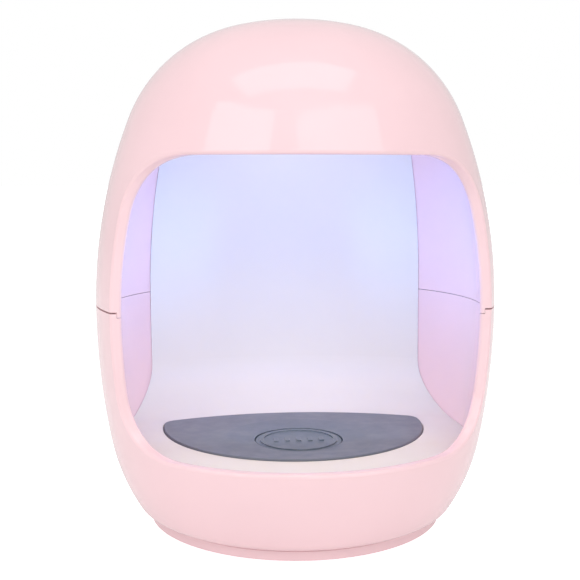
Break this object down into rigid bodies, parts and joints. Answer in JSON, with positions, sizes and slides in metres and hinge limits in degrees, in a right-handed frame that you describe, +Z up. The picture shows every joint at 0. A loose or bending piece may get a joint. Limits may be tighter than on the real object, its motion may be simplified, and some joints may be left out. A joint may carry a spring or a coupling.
{
  "type": "nail lamp",
  "caption": "Small egg-shaped UV LED nail lamp: pink shell with a front opening, white curved liner, grey finger pad with a press button and a USB inlet at the back.",
  "frame": {"origin": "centre of the resting face, on the egg's vertical axis", "axes": "+Z up, the front opening faces -Y, +X to the right seen from the front"},
  "size_m": [0.078, 0.0757, 0.0968],
  "materials": {
    "pink_shell": "glossy moulded plastic, pale pink",
    "white_liner": "satin white moulded plastic",
    "grey_pad": "satin slate grey, fine moulded grain",
    "grey_button": "satin slate grey",
    "silicone": "translucent silicone",
    "carbon": "conductive carbon rubber",
    "circuit_board": "green solder mask",
    "gold": "gold-plated contacts",
    "black_epoxy": "black moulded epoxy",
    "capacitor_can": "drawn can",
    "socket_metal": "plated stamped steel",
    "connector_plastic": "natural nylon",
    "led_aluminium": "white-masked aluminium board",
    "led_lens": "clear silicone dome over a violet die",
    "screw_steel": "zinc plated",
    "red_insulation": "soft insulation",
    "black_insulation": "soft insulation",
    "base_rubber": "matt anti-slip rubber"
  },
  "bodies": {
    "lamp": {"upper_shell": "pink_shell", "lower_shell": "pink_shell", "reflector_scoop": "white_liner", "finger_pad": "grey_pad", "rubber_dome": "silicone", "main_board": "circuit_board", "switch_contacts": "gold", "timer_chip": "black_epoxy", "driver_transistor": "black_epoxy", "smoothing_capacitor": "capacitor_can", "limit_resistors": "black_epoxy", "usb_shell": "socket_metal", "usb_tongue": "black_epoxy", "lead_header": "connector_plastic", "lead_plug": "connector_plastic", "led_holder": "white_liner", "led_board": "led_aluminium", "led_bead_1": "led_lens", "led_bead_2": "led_lens", "led_bead_3": "led_lens", "led_bead_4": "led_lens", "led_bead_5": "led_lens", "led_bead_6": "led_lens", "floor_screws": "screw_steel", "board_screws": "screw_steel", "holder_screws": "screw_steel", "led_board_screws": "screw_steel", "lead_red": "red_insulation", "lead_black": "black_insulation", "base_pad": "base_rubber"},
    "button": {"start_button": "grey_button", "carbon_pill": "carbon"}
  },
  "joints": [
    {"name": "button_press", "type": "slide", "parent": "lamp", "child": "button", "axis": [0, 0, -1], "range_m": [0, 0.0008], "stiffness_N_per_m": 1200, "springref_m": -0.0003, "deforming": ["rubber_dome"]}
  ]
}
